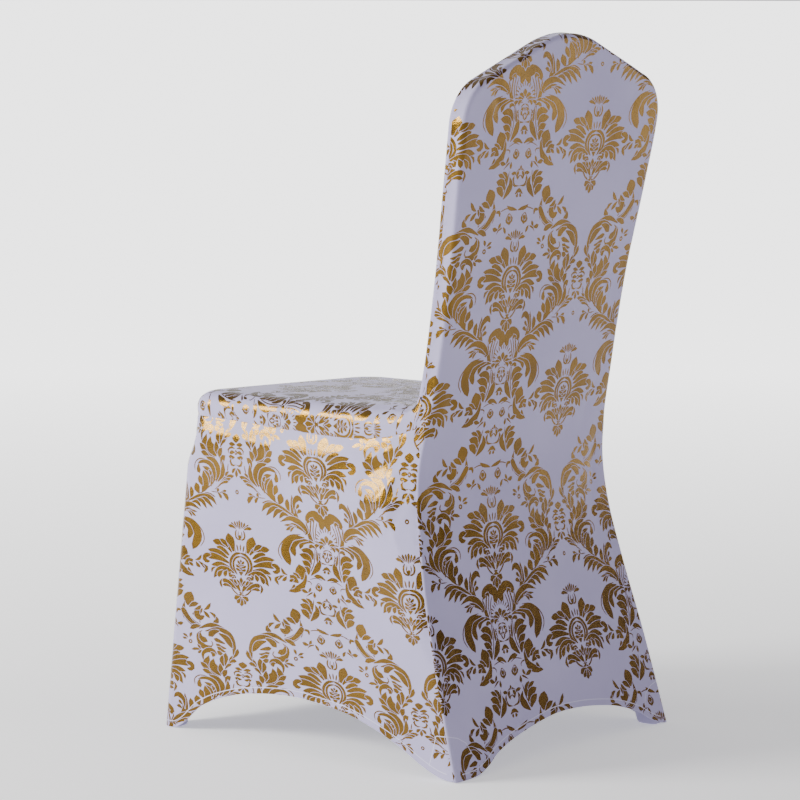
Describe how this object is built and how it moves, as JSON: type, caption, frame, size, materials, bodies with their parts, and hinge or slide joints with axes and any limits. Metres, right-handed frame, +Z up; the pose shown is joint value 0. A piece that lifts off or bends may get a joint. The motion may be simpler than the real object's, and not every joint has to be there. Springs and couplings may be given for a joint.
{
  "type": "fitted stretch chair cover",
  "caption": "Fitted stretch cover for a crown-backed banquet chair, hollow and open below, with arched hems and foot pockets.",
  "frame": {"origin": "on the floor, under the middle of the whole cover", "axes": "+Z up, -Y the way the sitter faces, +X the sitter's left"},
  "size_m": [0.4638, 0.5279, 0.938],
  "materials": {
    "cloth": "white stretch knit printed with a gold foil damask",
    "pocket_cloth": "doubled stretch knit of the foot pockets"
  },
  "bodies": {
    "root": {"outside_back": "cloth", "inside_back": "cloth", "seat_top": "cloth", "skirt_left": "cloth", "skirt_right": "cloth", "skirt_front": "cloth", "pocket_front_left": "pocket_cloth", "pocket_front_right": "pocket_cloth", "pocket_rear_left": "pocket_cloth", "pocket_rear_right": "pocket_cloth"}
  },
  "joints": []
}
